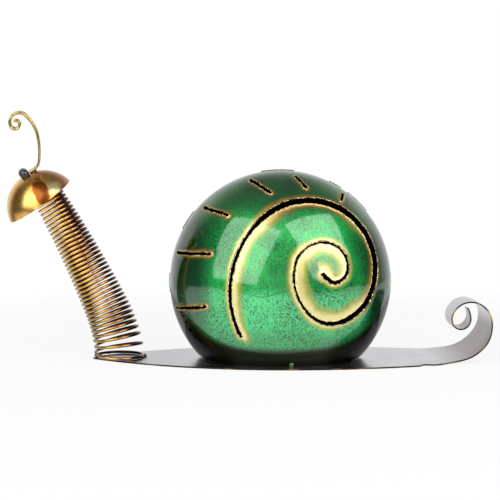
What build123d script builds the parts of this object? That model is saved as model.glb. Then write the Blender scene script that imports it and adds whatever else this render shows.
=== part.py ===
from build123d import *
from math import atan2, cos, degrees, exp, hypot, radians, sin, sqrt
import os

# The snail faces -X. Its left side is -Y. The origin lies on the underside of
# the foot, straight below the middle of the shell. All sizes are millimetres.

# Foot plate: a leaf of sheet steel, its tail end rolled up
plate_thickness = 1.0
plate_half_width = 53.0
plate_widest_x = 5.0
nose_reach = 130.5
nose_radius = 6.0
tail_roll_x = 90.6
tail_roll_half_width = 38.6
tail_roll_radius = 24.0
tip_half_width = 1.2
# Each bend of its outer face: turn in degrees, radius as a share of
# tail_roll_radius, and half width at its end as a share of
# tail_roll_half_width
tail_bend_shares = (
    (10, 6.7, 0.83),
    (42, 1.19, 0.755),
    (49, 0.893, 0.577),
    (63, 0.521, 0.42),
    (103, 0.547, 0.323),
    (158, 0.30, 0.22),
    (63, 0.42, 0.08),
)
tail_steps_per_bend = 3

# Shell: two pressed bowls, joined rim to rim on the XZ plane
shell_radius = 75.0
shell_half_depth = 60.0
shell_wall = 1.2
shell_center_height = 52.2
shell_seat_half_width = 36.0
shell_end_lift = 3.2
cut_overrun = 8.0

# Torch cuts through each bowl, drawn as seen from the side, from the middle
slot_width = 3.5
spiral_start_shares = (-0.36, -0.42)
spiral_start_heading = 117.0
# Each bend: right turn in degrees, radius as a share of shell_radius, and
# width as a share of slot_width
spiral_bend_shares = (
    (73, 0.847, 0.58),
    (146, 0.593, 1.0),
    (63, 0.427, 0.95),
    (57, 0.267, 0.66),
    (57, 0.467, 0.38),
    (82, 0.247, 0.36),
    (86, 0.217, 0.36),
    (69, 0.133, 0.48),
    (59, 0.077, 0.76),
    (17, 0.300, 0.76),
)
dash_width = 1.8
# Each dash: its outer end and its inner end, as shares of shell_radius
dash_shares = (
    ((-0.925, -0.22), (-0.66, -0.175)),
    ((-0.915, 0.27), (-0.625, 0.285)),
    ((-0.68, 0.67), (-0.47, 0.615)),
    ((-0.275, 0.915), (-0.10, 0.805)),
    ((0.125, 0.945), (0.215, 0.845)),
    ((0.545, 0.785), (0.52, 0.735)),
)

# The right bowl's cuts differ from the left's, so that no daylight shows
# through both: its spiral is smaller and nearer the tail, and its dashes sit
# a few degrees further round
right_spiral_size_share = 0.8
right_spiral_shift_shares = (0.16, -0.04)
right_dash_turn = -6.5

# Welds of the shell: a bead round the inside, stitches outside, foot tacks
seam_bead_half_width = 1.1
seam_bead_height = 1.1
stitch_half_width = 0.8
stitch_proud = 0.5
# Each stitch: its first and last angle from +X towards +Z, in degrees
stitch_angles = ((39, 53), (57, 64), (83, 100), (141, 152), (176, 186), (-8, 4))
shell_tack_radius = 2.2
shell_tack_x = 6.0
inner_tack_x = 20.0

# Neck: an open, tapering, left-hand spring, its bottom turn flat on the foot
neck_base_x = 109.7
wire_radius = 1.0
neck_bottom_radius = 16.2
neck_top_radius = 9.2
neck_length = 129.7
neck_pitch = 2.93
neck_opening = 8.3
neck_opening_turns = 1.6
neck_lift = 1.9
neck_ease_turns = 0.08
neck_lift_turns = 0.1
flat_ring_share = 0.76
neck_touch_angle = -98.0
ring_clearance = 0.1
# Each bend of the neck's middle line: lean gained in degrees, and its length
# as a share of neck_length; the last bend runs on to the end
neck_bend_shares = ((1, 0.02), (11, 0.055), (12.5, 0.205), (6.5, 0.72))
samples_per_turn = 24
neck_tack_radius = 1.5
neck_tack_angles = (5, 120)
wire_step_share = 0.01

# Head: a cap pressed to a part of a ball, tilted forward and a little left
cap_radius = 24.4
cap_height = 20.1
cap_wall = 1.0
cap_lean = 34.5
cap_roll = 10.7
cap_setback = 7.45
cap_clearance = 0.3
head_tack_radius = 1.7
head_tack_angles = (-28, 28)

# Antennae: two bent wires, side by side on the back of the cap
antenna_wire_radius = 0.85
antenna_half_spacing = 1.35
antenna_splay = 3.5
antenna_foot_x = -6.0
antenna_foot_length = 2.1
antenna_foot_lift = 0.95
antenna_heading = 188.6
antenna_curl_radius = 6.3
# Each bend: right turn in degrees, and radius as a share of
# antenna_curl_radius
antenna_bend_shares = (
    (57.5, 1.37),
    (15, 9.0),
    (36, 4.46),
    (64, 0.98),
    (94, 1.01),
    (142, 0.50),
    (135, 0.41),
)
antenna_weld_radius = 2.4
antenna_weld_sink = 0.9

# Eyes: two beads glued in line across the top of the cap
eye_radius = 3.35
eye_half_spacing = 3.9
eye_setback = 2.8
right_eye_ahead = 1.2
eye_lift = 1.75

plate_top = plate_thickness
cap_ball_radius = (cap_radius**2 + cap_height**2) / (2 * cap_height)
cap_ball_drop = cap_ball_radius - cap_height
shell_center_z = plate_top + shell_center_height
shell_center = Pos(0, 0, shell_center_z)
side_view = Plane.XZ


def unit(angle):
    """The direction at an angle, in degrees, in the XY plane."""
    return Vector(cos(radians(angle)), sin(radians(angle)), 0)


def bent_path(start, heading, bends):
    """Tangent arcs in the XY plane from a list of (left turn, radius)."""
    arcs = []
    point, direction = Vector(*start), unit(heading)
    for turn, radius in bends:
        arc = JernArc(point, direction, radius, turn)
        point, direction = arc @ 1, arc % 1
        arcs.append(arc)
    return arcs


def round_wire(path, radius):
    """A round wire swept along a chain of tangent lines and arcs."""
    section = Plane(origin=path @ 0, z_dir=path % 0) * Circle(radius)
    return sweep(section, path=path)


def ball(center, radius):
    return Pos(*center) * Sphere(radius)


def leaf_face():
    """The flat part of the foot, up to where the tail starts to roll."""
    widest = (plate_widest_x, -plate_half_width)
    nose = (-nose_reach, 0)
    tail_corner = (tail_roll_x, -tail_roll_half_width)
    front = TangentArc(widest, nose, tangent=(-1, 0))
    back = TangentArc(widest, tail_corner, tangent=(1, 0))
    near_side = Curve() + [front, back]
    far_side = mirror(near_side, Plane.XZ)
    end = Line(tail_corner, (tail_roll_x, tail_roll_half_width))
    return make_face(near_side + far_side + end)


def tail_section(arc, part, half_width):
    """The sheet cut across, some part of the way along one bend."""
    spot, way = arc @ part, arc % part
    outer = Vector(spot.X, 0, spot.Y)
    inward = Vector(-way.Y, 0, way.X)
    middle = outer + inward * (plate_thickness / 2)
    frame = Plane(origin=middle, x_dir=(0, 1, 0), z_dir=(way.X, 0, way.Y))
    return frame * Rectangle(2 * half_width, plate_thickness)


def make_tail():
    """The rolled strip, its two long edges drawing in bend by bend."""
    bends = [(turn, share * tail_roll_radius) for turn, share, _ in tail_bend_shares]
    arcs = bent_path((tail_roll_x, 0), 0, bends)
    half_width = tail_roll_half_width
    sections = [tail_section(arcs[0], 0, half_width)]
    for arc, (_, _, width_share) in zip(arcs, tail_bend_shares):
        end_width = tip_half_width + width_share * (tail_roll_half_width - tip_half_width)
        for step in range(1, tail_steps_per_bend + 1):
            part = step / tail_steps_per_bend
            width = half_width + (end_width - half_width) * part
            sections.append(tail_section(arc, part, width))
        half_width = end_width
    return loft(sections)


def make_foot_plate():
    leaf = extrude(leaf_face(), plate_thickness)
    nose_edge = leaf.edges().filter_by(Axis.Z).sort_by(Axis.X)[0]
    return fillet(nose_edge, nose_radius) + make_tail()


def flat_dome(radius, height):
    """A solid half of a flattened ball, standing on the XY plane."""
    half = split(Sphere(radius), Plane.XY, keep=Keep.TOP)
    return scale(half, by=(1, 1, height / radius))


def bowl(radius, depth):
    """A solid half of the shell's form, on the -Y side of its middle."""
    return shell_center * Rot(90, 0, 0) * Rot(0, 0, -90) * flat_dome(radius, depth)


def above_plate(piece):
    """What lies above the foot's top face."""
    return split(piece, Plane.XY.offset(plate_top), keep=Keep.TOP)


def under_shell():
    """What is cut off below the left bowl: flat at the side, raised at the ends."""
    out = shell_half_depth + cut_overrun
    down = -shell_radius
    outline = Polyline(
        (cut_overrun, plate_top + shell_end_lift),
        (0, plate_top + shell_end_lift),
        (-shell_seat_half_width, plate_top),
        (-out, plate_top),
        (-out, down),
        (cut_overrun, down),
        close=True,
    )
    return extrude(Plane.YZ * make_face(outline), shell_radius + cut_overrun, both=True)


def spiral_cut(size_share=1.0, shift_shares=(0, 0)):
    """The spiral slot, as flat faces seen from the side."""
    size = size_share * shell_radius
    places = zip(spiral_start_shares, shift_shares)
    start = [share * size + shift * shell_radius for share, shift in places]
    bends = [(-turn, share * size) for turn, share, _ in spiral_bend_shares]
    arcs = bent_path(start, spiral_start_heading, bends)
    widths = [share * size_share * slot_width for _, _, share in spiral_bend_shares]
    return [SlotArc(arc.edge(), width) for arc, width in zip(arcs, widths)]


def dash_cuts(turn=0):
    """The straight dashes near the rim, as flat faces seen from the side."""
    cuts = []
    for outer, inner in dash_shares:
        ends = [(x * shell_radius, z * shell_radius) for x, z in (outer, inner)]
        cuts.append(Rot(0, 0, turn) * SlotArc(Line(*ends).edge(), dash_width))
    return cuts


def make_bowl_half(cuts):
    """One pressed bowl, on the -Y side, with its torch cuts."""
    half = bowl(shell_radius, shell_half_depth)
    half -= bowl(shell_radius - shell_wall, shell_half_depth - shell_wall)
    half -= under_shell()
    reach = shell_half_depth + cut_overrun
    for face in cuts:
        half -= shell_center * extrude(side_view * face, reach)
    return half


def seam_ring(radius, half_width, height, first, last):
    """A round-backed bead along the seam, from one angle to another."""
    ends = [(radius, -half_width), (radius, half_width)]
    back = ThreePointArc(ends[0], (radius + height, 0), ends[1])
    section = Rot(0, -last, 0) * make_face(back + Line(*ends))
    return shell_center * revolve(section, Axis.Y, last - first)


def make_seam_welds():
    """One long bead round the inside, and short stitches outside."""
    inner_radius = shell_radius - shell_wall
    inner_depth = shell_half_depth - shell_wall
    wall = inner_radius * sqrt(1 - (seam_bead_half_width / inner_depth) ** 2)
    drop = shell_center_height - shell_end_lift - 2 * seam_bead_height
    foot_angle = degrees(atan2(drop, sqrt(inner_radius**2 - drop**2)))
    bead = seam_ring(wall, seam_bead_half_width, -seam_bead_height, -foot_angle, 180 + foot_angle)
    stitches = [
        seam_ring(shell_radius, stitch_half_width, stitch_proud, *ends) for ends in stitch_angles
    ]
    return Compound([bead] + stitches)


def seat_y(depth, radius, x):
    """How far out the shell's bottom rim lies at a place along the foot."""
    drop = shell_center_height / radius
    return depth * sqrt(1 - drop**2 - (x / radius) ** 2)


def make_shell_tacks():
    """Two beads outside, left and right, and two inside, all on the foot."""
    inner_radius = shell_radius - shell_wall
    inner_depth = shell_half_depth - shell_wall
    outer = seat_y(shell_half_depth, shell_radius, shell_tack_x)
    inner = seat_y(inner_depth, inner_radius, inner_tack_x)
    height = plate_top + shell_tack_radius / 2
    outside = above_plate(ball((shell_tack_x, -outer, height), shell_tack_radius))
    inside = above_plate(ball((-inner_tack_x, -inner, height), shell_tack_radius))
    outside -= bowl(shell_radius, shell_half_depth)
    inside &= bowl(inner_radius, inner_depth)
    tacks = outside.solids() + inside.solids()
    return tacks + [mirror(tack, Plane.XZ) for tack in tacks]


def neck_lean(along):
    """Lean in degrees, and place in X and Z, of the neck's middle line."""
    x, z, lean = -neck_base_x, plate_top + wire_radius + ring_clearance, 0.0
    left = along
    for turn, length_share in neck_bend_shares:
        length = length_share * neck_length
        radius = length / radians(turn)
        part = min(max(left, 0), length)
        swing = lean + degrees(part / radius)
        x -= radius * (cos(radians(lean)) - cos(radians(swing)))
        z += radius * (sin(radians(swing)) - sin(radians(lean)))
        lean = swing
        left -= part
    return lean, x, z


def neck_height(turn):
    """Length along the middle line that the spring has climbed after a turn."""
    if turn <= 0:
        return 0.0
    eased = turn**2 / (turn + neck_ease_turns)
    opening = neck_opening * (1 - exp(-eased / neck_opening_turns))
    lift = neck_lift * (1 - exp(-eased / neck_lift_turns))
    return neck_pitch * eased + opening + lift


def neck_point(turn):
    """The middle of the wire after a number of turns from the flat ring."""
    along = neck_height(turn)
    lean, x, z = neck_lean(along)
    taper = along / neck_length
    radius = neck_bottom_radius + (neck_top_radius - neck_bottom_radius) * taper
    angle = radians(neck_touch_angle - 360 * turn)
    out = radius * cos(angle)
    return Vector(x + out * cos(radians(lean)), radius * sin(angle), z + out * sin(radians(lean)))


def neck_direction(turn):
    ahead = neck_point(turn + wire_step_share)
    return (ahead - neck_point(turn - wire_step_share)).normalized()


def biarc(first, first_way, last, last_way):
    """Two tangent arcs between two places with given directions."""
    span = last - first
    both = first_way + last_way
    square = 2 * (1 - first_way.dot(last_way))
    along = span.dot(both)
    reach = (sqrt(along**2 + square * span.dot(span)) - along) / square
    middle = (first + last + (first_way - last_way) * reach) * 0.5
    middle_way = ((last - last_way * reach) - (first + first_way * reach)).normalized()
    return [
        Edge.make_tangent_arc(first, first_way, middle),
        Edge.make_tangent_arc(middle, middle_way, last),
    ]


def neck_turns():
    """The number of turns that reach the end of the neck."""
    turns = neck_length / neck_pitch
    for _ in range(8):
        turns -= (neck_height(turns) - neck_length) / neck_pitch
    return turns


def make_neck_spring():
    first, last = -flat_ring_share, neck_turns()
    halves = int((last - 1) * 2)
    stops = [first * (1 - step / 4) for step in range(4)]
    stops += [step / 4 for step in range(4)]
    stops += [1 + step * (last - 1) / halves for step in range(halves + 1)]
    spots = [(neck_point(stop), neck_direction(stop)) for stop in stops]
    edges = []
    for here, there in zip(spots, spots[1:]):
        edges += biarc(*here, *there)
    diameter = 2 * wire_radius
    tail_way, head_way = neck_direction(first), neck_direction(last)
    tail = Line(neck_point(first) - tail_way * diameter, neck_point(first))
    head = Line(neck_point(last), neck_point(last) + head_way * diameter)
    return round_wire(Wire([tail.edge()] + edges + [head.edge()]), wire_radius)


def neck_gap():
    """Least gap between two turns of the spring, measured on points."""
    count = int((neck_turns() + flat_ring_share) * samples_per_turn)
    points = [neck_point(step / samples_per_turn - flat_ring_share) for step in range(count)]
    near, far = samples_per_turn // 2, samples_per_turn * 3 // 2
    gaps = []
    for index, point in enumerate(points):
        others = points[index + near:index + far]
        gaps += [(other - point).length for other in others]
    return min(gaps) - 2 * wire_radius


def cap_frame():
    """The cap's own frame: its rim's middle, X to its face, Z up its axis."""
    lean, x, z = neck_lean(neck_length)
    up = Vector(0, 0, 1).rotate(Axis.Y, -cap_lean)
    face = Vector(-1, 0, 0).rotate(Axis.Y, -cap_lean)
    up = up.rotate(Axis((0, 0, 0), face), -cap_roll)
    reach = cap_setback + neck_top_radius + wire_radius
    depth = cap_surface(reach, cap_wall) - wire_radius - cap_clearance
    middle = Vector(x, 0, z) - up * depth + face * cap_setback
    return Plane(origin=middle, x_dir=face, z_dir=up)


def cap_surface(out, inset=0.0):
    """Height over the rim plane, some way out from the cap's middle."""
    return sqrt((cap_ball_radius - inset) ** 2 - out**2) - cap_ball_drop


def cap_form(inset=0.0):
    """A solid cap, smaller all over by the inset, on its rim plane."""
    whole = Pos(0, 0, -cap_ball_drop) * Sphere(cap_ball_radius - inset)
    return split(whole, Plane.XY, keep=Keep.TOP)


def make_cap():
    return cap_frame() * (cap_form() - cap_form(cap_wall))


def make_antenna(side):
    """One antenna, in a plane that splays out from the cap's middle."""
    foot = (antenna_foot_x, cap_surface(antenna_foot_x) + antenna_foot_lift)
    along = unit(antenna_heading) * antenna_foot_length
    start = Line(foot, Vector(*foot) + along)
    bends = [(-turn, share * antenna_curl_radius) for turn, share in antenna_bend_shares]
    arcs = bent_path(start @ 1, antenna_heading, bends)
    flat = Wire([start.edge()] + [arc.edge() for arc in arcs])
    base = (0, side * antenna_half_spacing, foot[1])
    splay = Pos(*base) * Rot(-side * antenna_splay, 0, 0) * Pos(0, 0, -foot[1])
    path = (cap_frame().location * splay * Plane.XZ.location) * flat
    return round_wire(path, antenna_wire_radius)


def make_eye(side):
    x = -eye_setback if side > 0 else right_eye_ahead - eye_setback
    height = cap_surface(hypot(x, eye_half_spacing)) + eye_lift
    bead = ball((x, side * eye_half_spacing, height), eye_radius)
    return cap_frame() * (bead - cap_form())


def make_antenna_weld(wires):
    x = antenna_foot_x - antenna_foot_length
    spot = (x, 0, cap_surface(x) - antenna_weld_sink)
    weld = cap_frame() * (ball(spot, antenna_weld_radius) - cap_form())
    for wire in wires:
        weld -= wire
    return weld


def fused_bead(spot, radius, pieces):
    """A weld bead, less the pieces that it joins."""
    bead = ball(spot, radius)
    for piece in pieces:
        bead -= piece
    return bead.solids().sort_by(SortBy.VOLUME)[-1]


def neck_foot_spots():
    """Just outside the flat ring, on the right and on the far side."""
    spots = []
    for angle in neck_tack_angles:
        out = unit(angle) * (neck_bottom_radius + wire_radius)
        spots.append((out.X - neck_base_x, out.Y, plate_top + wire_radius / 2))
    return spots


def neck_head_spots():
    """On the last turn where it lies against the back of the cap."""
    lean, x, z = neck_lean(neck_length)
    back = Vector(1, 0, 0).rotate(Axis.Y, -lean)
    up = Vector(0, 0, 1).rotate(Axis.Y, -lean)
    spots = []
    for angle in head_tack_angles:
        out = back * cos(radians(angle)) + Vector(0, 1, 0) * sin(radians(angle))
        touch = out * (neck_top_radius + wire_radius) + up * (wire_radius / 2)
        spots.append(Vector(x, 0, z) + touch)
    return spots


os.makedirs("parts", exist_ok=True)

foot_plate = make_foot_plate()
left_half = make_bowl_half(spiral_cut() + dash_cuts())
right_cuts = spiral_cut(right_spiral_size_share, right_spiral_shift_shares)
right_half = mirror(make_bowl_half(right_cuts + dash_cuts(right_dash_turn)), Plane.XZ)
seam_welds = make_seam_welds()
shell_tacks = make_shell_tacks()
spring = make_neck_spring()
cap = make_cap()
antennae = {side: make_antenna(side) for side in (1, -1)}
antenna_weld = make_antenna_weld(antennae.values())
foot_tacks = [above_plate(fused_bead(spot, neck_tack_radius, [spring])) for spot in neck_foot_spots()]
head_tacks = [fused_bead(spot, head_tack_radius, [spring, cap]) for spot in neck_head_spots()]

pieces = {
    "foot_plate": foot_plate,
    "shell_left_half": left_half,
    "shell_right_half": right_half,
    "shell_seam_welds": seam_welds,
    "shell_foot_tacks": Compound(shell_tacks),
    "neck_foot_tacks": Compound(foot_tacks),
    "neck_spring": spring,
    "head_dome": cap,
    "neck_head_welds": Compound(head_tacks),
    "antenna_left": antennae[1],
    "antenna_right": antennae[-1],
    "antenna_weld": antenna_weld,
    "eye_left": make_eye(1),
    "eye_right": make_eye(-1),
}
for name, piece in pieces.items():
    export_step(piece, f"parts/{name}.step")

print("turns of the neck:", round(neck_turns() + flat_ring_share, 1))
print("least gap in the neck:", round(neck_gap(), 2))
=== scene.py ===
import math

import bpy
import numpy as np
from mathutils import Euler, Matrix, Vector, noise
from mathutils.geometry import delaunay_2d_cdt
from mathutils.kdtree import KDTree


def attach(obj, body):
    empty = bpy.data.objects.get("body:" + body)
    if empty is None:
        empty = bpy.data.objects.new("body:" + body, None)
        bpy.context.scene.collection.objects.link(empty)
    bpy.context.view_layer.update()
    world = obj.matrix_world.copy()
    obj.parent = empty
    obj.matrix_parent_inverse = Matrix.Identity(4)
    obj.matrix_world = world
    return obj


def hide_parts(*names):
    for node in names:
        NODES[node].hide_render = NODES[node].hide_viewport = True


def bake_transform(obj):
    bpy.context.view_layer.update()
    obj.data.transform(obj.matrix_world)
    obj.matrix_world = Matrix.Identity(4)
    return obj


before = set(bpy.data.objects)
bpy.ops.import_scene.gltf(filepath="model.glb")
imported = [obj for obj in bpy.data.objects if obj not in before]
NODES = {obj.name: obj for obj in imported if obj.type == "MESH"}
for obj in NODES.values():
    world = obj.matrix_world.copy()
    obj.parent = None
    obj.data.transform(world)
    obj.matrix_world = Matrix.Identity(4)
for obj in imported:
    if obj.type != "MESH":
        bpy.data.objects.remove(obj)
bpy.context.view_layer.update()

MM = 0.001

# Sizes of the solids that are dressed here, in millimetres
SHELL_RADIUS = 75.0
SHELL_DEPTH = 60.0
SHELL_WALL = 1.2
SHELL_HEIGHT = 53.2
SEAT_HALF_WIDTH = 36.0
END_LIFT = 3.2
SEAT_DROP = 52.2

SLOT_WIDTH = 3.5
SPIRAL_START = (-27.0, -31.5)
SPIRAL_HEADING = 117.0
# Right turn in degrees, radius as a share of the shell's, width as a share
SPIRAL_BENDS = (
    (73, 0.847, 0.58),
    (146, 0.593, 1.0),
    (63, 0.427, 0.95),
    (57, 0.267, 0.66),
    (57, 0.467, 0.38),
    (82, 0.247, 0.36),
    (86, 0.217, 0.36),
    (69, 0.133, 0.48),
    (59, 0.077, 0.76),
    (17, 0.300, 0.76),
)
DASH_WIDTH = 1.8
DASHES = (
    ((-0.925, -0.22), (-0.66, -0.175)),
    ((-0.915, 0.27), (-0.625, 0.285)),
    ((-0.68, 0.67), (-0.47, 0.615)),
    ((-0.275, 0.915), (-0.10, 0.805)),
    ((0.125, 0.945), (0.215, 0.845)),
    ((0.545, 0.785), (0.52, 0.735)),
)
# The right bowl's spiral is smaller and moved, and its dashes are turned
RIGHT_SPIRAL_SIZE = 0.8
RIGHT_SPIRAL_SHIFT = (12.0, -3.0)
RIGHT_DASH_TURN = -6.5

PLATE_TOP = 1.0
WIRE_RADIUS = 1.0
NECK_BASE_X = 109.7
NECK_BOTTOM_RADIUS = 16.2
NECK_TOP_RADIUS = 9.2
NECK_LENGTH = 129.7
NECK_PITCH = 2.93
NECK_OPENING = 8.3
NECK_OPENING_TURNS = 1.6
NECK_LIFT = 1.9
NECK_LIFT_TURNS = 0.1
NECK_EASE_TURNS = 0.08
FLAT_RING_SHARE = 0.76
NECK_TOUCH_ANGLE = -98.0
RING_CLEARANCE = 0.1
NECK_BENDS = ((1, 0.02), (11, 0.055), (12.5, 0.205), (6.5, 0.72))


# The numbers of a Mix node's sockets for colours
MIX_FIRST, MIX_SECOND, MIX_RESULT = 6, 7, 2


class Field:
    """A number or colour that varies over a surface."""

    tree = None

    def __init__(self, socket):
        self.socket = socket

    @classmethod
    def put(cls, kind, inputs=(), out=0, **settings):
        """Adds a node, feeds its inputs and gives one of its outputs."""
        node = cls.tree.nodes.new(kind)
        for key, value in settings.items():
            setattr(node, key, value)
        for key, value in dict(inputs).items():
            if isinstance(value, Field):
                cls.tree.links.new(value.socket, node.inputs[key])
            else:
                node.inputs[key].default_value = value
        return cls(node.outputs[out])

    def math(self, kind, *others, swap=False):
        """One Math node on this and the others; swap puts the others first."""
        values = [self, *others]
        if swap:
            values = values[::-1]
        return Field.put("ShaderNodeMath", enumerate(values), operation=kind)

    def __add__(self, other):
        return self.math("ADD", other)

    __radd__ = __add__

    def __sub__(self, other):
        return self.math("SUBTRACT", other)

    def __rsub__(self, other):
        return self.math("SUBTRACT", other, swap=True)

    def __mul__(self, other):
        return self.math("MULTIPLY", other)

    __rmul__ = __mul__

    def __truediv__(self, other):
        return self.math("DIVIDE", other)

    def __rtruediv__(self, other):
        return self.math("DIVIDE", other, swap=True)

    def __neg__(self):
        return self.math("MULTIPLY", -1.0)

    def __abs__(self):
        return self.math("ABSOLUTE")

    def low(self, other):
        """The lower of this and the other."""
        return self.math("MINIMUM", other)

    def high(self, other):
        """The higher of this and the other."""
        return self.math("MAXIMUM", other)

    def ramp(self, start, stop):
        """Rises smoothly from 0 at start to 1 at stop."""
        rising = {"Value": self, "From Min": start, "From Max": stop}
        return Field.put("ShaderNodeMapRange", rising, interpolation_type="SMOOTHSTEP")

    def tint_number(self, first, second):
        """The first number where this is 0, the second where it is 1."""
        return self * (second - first) + first

    def tint(self, first, second):
        """The first colour where this is 0, the second where it is 1."""
        inputs = {0: self}
        for socket, color in ((MIX_FIRST, first), (MIX_SECOND, second)):
            inputs[socket] = color if isinstance(color, Field) else (*color, 1.0)
        return Field.put("ShaderNodeMix", inputs, out=MIX_RESULT, data_type="RGBA")


def place(x=1.0, y=1.0, z=1.0):
    """The place on the piece in millimetres, each axis scaled."""
    spot = Field.put("ShaderNodeTexCoord", out="Object")
    scale = {"Vector": spot, "Scale": (x / MM, y / MM, z / MM)}
    return Field.put("ShaderNodeMapping", scale)


def axis(vector, index):
    """One of a vector's three numbers."""
    return Field.put("ShaderNodeSeparateXYZ", {0: vector}, out=index)


def grain(vector, size, detail=2.0, rough=0.5):
    """Soft random patches of about this size, 0 to 1."""
    inputs = {"Vector": vector, "Scale": 1.0 / size, "Detail": detail, "Roughness": rough}
    return Field.put("ShaderNodeTexNoise", inputs)


def blob(x, z, middle, reach):
    """1 at a place seen from the side, fading to 0 within a reach."""
    across, up = (x - middle[0]) / reach[0], (z - middle[1]) / reach[1]
    return (1.0 - across * across - up * up).ramp(0.0, 0.9)


def surface_number(name):
    """A number that the mesh stores for each of its points."""
    return Field.put("ShaderNodeAttribute", out="Fac", attribute_name=name)


def material(name, make, **constants):
    """A named surface; make() returns the shader inputs that vary."""
    made = bpy.data.materials.new(name)
    made.use_nodes = True
    Field.tree = made.node_tree
    shader = made.node_tree.nodes["Principled BSDF"]
    for key, value in constants.items():
        shader.inputs[key.replace("_", " ").title().replace("Ior", "IOR")].default_value = value
    for key, value in make().items():
        made.node_tree.links.new(value.socket, shader.inputs[key])
    return made


def bump(height, distance, strength=1.0):
    """A fine relief; distance in millimetres."""
    inputs = {"Height": height, "Distance": distance * MM, "Strength": strength}
    return Field.put("ShaderNodeBump", inputs)


# Colours as linear red, green and blue, from the lacquer to the bare metal
LEAF_GREEN, DEEP_GREEN = (0.020, 0.46, 0.090), (0.007, 0.29, 0.050)
# Painted reflection of the bright floor: paler green low on the shell, dimmer near the bottom
FLOOR_REFLECTION_GREEN, FLOOR_REFLECTION_DEEP_GREEN = (0.088, 0.84, 0.275), (0.052, 0.66, 0.205)
LOW_FLOOR_REFLECTION_GREEN = (0.034, 0.46, 0.130)
SPECK_GREEN = (0.002, 0.070, 0.018)
SHADED_GREEN = (0.004, 0.070, 0.022)
# Thin dark lines, a painted reflection of the floor's front edge
EDGE_REFLECTION_GREEN = (0.002, 0.06, 0.012)
# Dark olive at the foot, a painted reflection of the plate
PLATE_REFLECTION_OLIVE = (0.020, 0.026, 0.005)
# The halo in a shaded copy and a lit copy, the darker one as painted shade
SHADED_AMBER, LIT_AMBER = (0.30, 0.17, 0.014), (0.42, 0.42, 0.055)
SHADED_CREAM, LIT_CREAM = (0.56, 0.37, 0.080), (0.90, 0.80, 0.330)
SCORCHED_STEEL, BRIGHT_GOLD = (0.024, 0.014, 0.005), (1.0, 0.82, 0.40)
# Near-black painted shade inside the shell
HOLLOW_SHADE_BLACK = (0.004, 0.004, 0.003)
LACQUER_TINT = (0.05, 0.30, 0.12, 1.0)
WELD_DARK, WELD_GREEN = (0.02, 0.05, 0.02), (0.10, 0.22, 0.08)
WELD_BLACK, WELD_BROWN = (0.03, 0.018, 0.01), (0.30, 0.16, 0.06)
COOL_STEEL, PALE_STEEL = (0.41, 0.40, 0.44), (0.47, 0.46, 0.495)
NOSE_STEEL = (0.325, 0.317, 0.352)
MAUVE_STEEL, INNER_STEEL = (0.155, 0.115, 0.108), (0.225, 0.220, 0.245)
EDGE_BLACK, EDGE_STRAW = (0.030, 0.020, 0.018), (0.62, 0.42, 0.15)
WIRE_GOLD, WIRE_ORANGE = (0.78, 0.50, 0.14), (0.70, 0.39, 0.13)
WIRE_COPPER = (0.30, 0.095, 0.038)
# The upper front's paler gold is painted light
WIRE_LOW_BROWN, WIRE_LIT_TOP_GOLD = (0.16, 0.075, 0.030), (1.0, 0.68, 0.24)
# Painted shade at each turn's nose and tail ends
WIRE_NOSE_TIP_SHADE, WIRE_TAIL_TIP_SHADE = (0.060, 0.032, 0.020), (0.105, 0.036, 0.016)
# Painted shade on the wire's inner side
WIRE_INNER_SHADE = (0.045, 0.020, 0.010)
DOME_COPPER, DOME_GOLD = (0.72, 0.36, 0.070), (0.90, 0.54, 0.150)
# The cap's painted shade, browner on top and behind
DOME_TOP_SHADE_BROWN, DOME_BACK_SHADE_BROWN = (0.34, 0.155, 0.052), (0.34, 0.115, 0.030)
# The cap's painted highlight
DOME_PAINTED_HIGHLIGHT = (1.0, 0.82, 0.42)
# A dark band painted as the reflection of the gap between the lamps
DOME_DARK_BAND, DOME_BRUSHED = (0.26, 0.055, 0.002), (0.22, 0.085, 0.02)
ANTENNA_GOLD, ANTENNA_STRAW = (0.42, 0.30, 0.09), (0.68, 0.53, 0.21)
BEAD_BLACK, BEAD_BLUE = (0.004, 0.004, 0.006), (0.012, 0.014, 0.022)

# Where the shell's tones start and end, in millimetres as seen from the side
FLOOR_REFLECTION_FROM, LOW_FROM = (56.0, 46.0), (32.0, 18.0)
NOSE_SHADE, TAIL_SHADE, TOP_SHADE = (-42.0, -57.0), (48.0, 62.0), (94.0, 108.0)
TOP_SHADE_SHARE, SHADE_SHARE, SPECK_SHARE, EDGE_REFLECTION_SHARE = 0.62, 0.9, 0.95, 0.7
# Where the halo's painted shade begins, above and towards the tail
HALO_SHADE_ABOVE, HALO_SHADE_BEYOND = (104.0, 90.0), (58.0, 48.0)
# The curved upper edge of the plate's painted reflection at the foot
PLATE_REFLECTION_HEIGHT, PLATE_REFLECTION_RISE, PLATE_REFLECTION_FADE = 12.0, 1.2e-6, (3.5, -1.5)
# The same for the plate, the wire and the cap
ROLL_ZONE, NOSE_ZONE, STRAW_ZONE = (90.0, 92.0), (-40.0, -80.0), (24.0, 36.0)
BEND_ACROSS, BEND_UP = (98.0, 128.0), (34.0, 22.0)
SCROLL_MIDDLE, SCROLL_REACH = (123.5, 30.0), (8.0, 8.0)
WIRE_LOW, WIRE_HIGH = (64.0, 24.0), (78.0, 104.0)
# Where the cap's painted shade starts, above and behind
CAP_TOP, CAP_BACK = (119.0, 128.0), (-156.0, -147.0)
# The cap's painted highlight
HIGHLIGHT_MIDDLE, HIGHLIGHT_REACH = (-151.0, 117.0), (6.0, 5.0)
# The cap's dark band, a painted reflection of the gap between the lamps
DARK_BAND_MIDDLE, DARK_BAND_REACH = (-158.5, 113.5), (6.5, 11.0)
DARK_BAND_SLANT, DARK_BAND_SLANT_HEIGHT = 0.35, 113.0

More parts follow.
